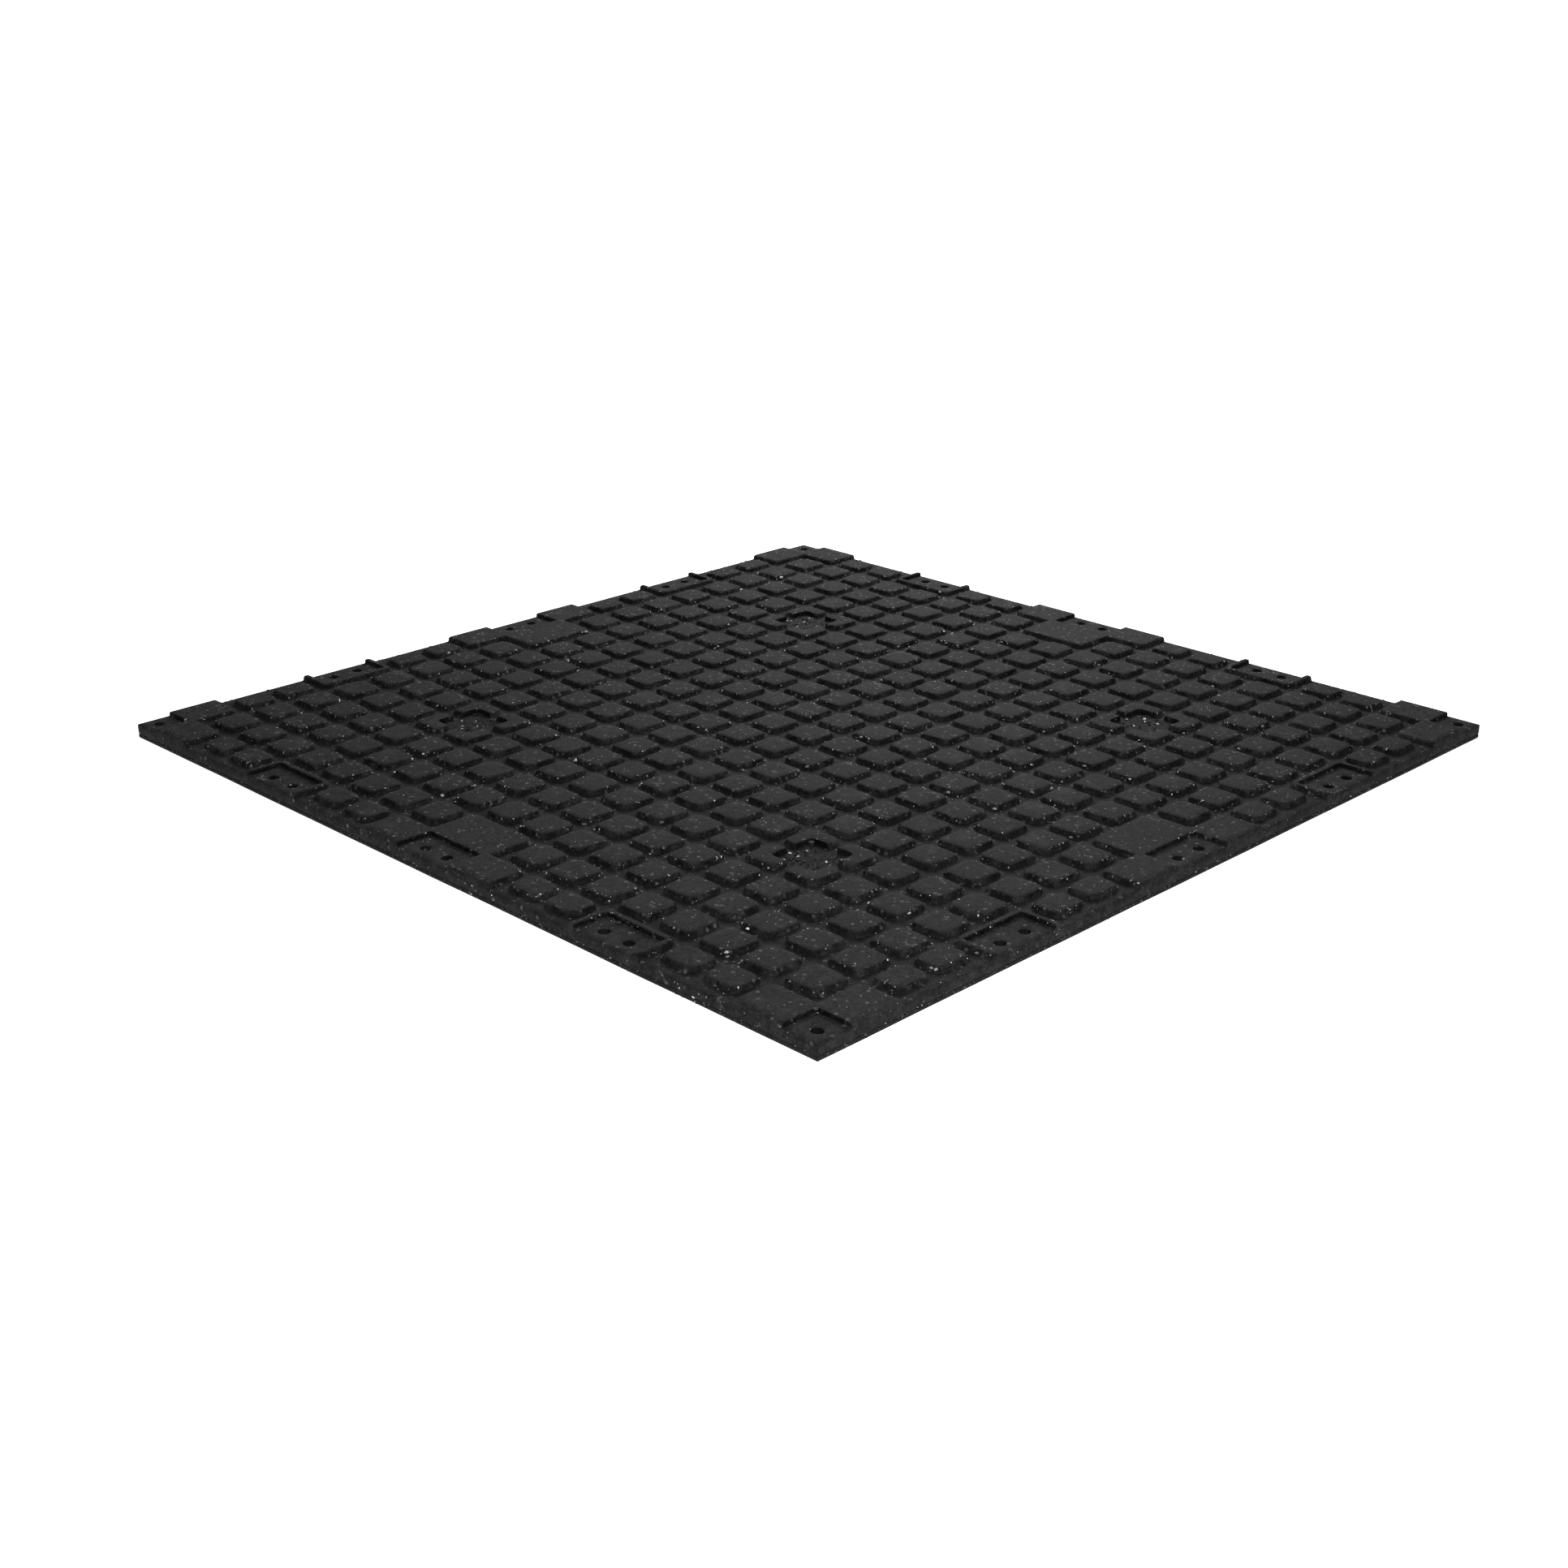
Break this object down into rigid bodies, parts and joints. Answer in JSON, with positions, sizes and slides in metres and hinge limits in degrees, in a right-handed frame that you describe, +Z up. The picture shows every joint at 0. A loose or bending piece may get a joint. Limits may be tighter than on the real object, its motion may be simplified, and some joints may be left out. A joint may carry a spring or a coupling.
{
  "type": "interlocking rubber floor tile",
  "caption": "Square black rubber floor tile lying studded side up, with square studs, raised edge blocks and pockets for joining plates.",
  "frame": {"origin": "the middle of the flat walking face, which lies on the ground", "axes": "+Z up, out of the studs; +X and +Y along the tile's edges, front edge at -Y"},
  "size_m": [1, 1, 0.02],
  "materials": {
    "base_rubber": "matte pressed granules with sparse pale flecks",
    "walking_rubber": "matte, dense fine granules with sparse pale flecks"
  },
  "bodies": {
    "root": {"studded_base": "base_rubber", "walking_layer": "walking_rubber"}
  },
  "joints": []
}
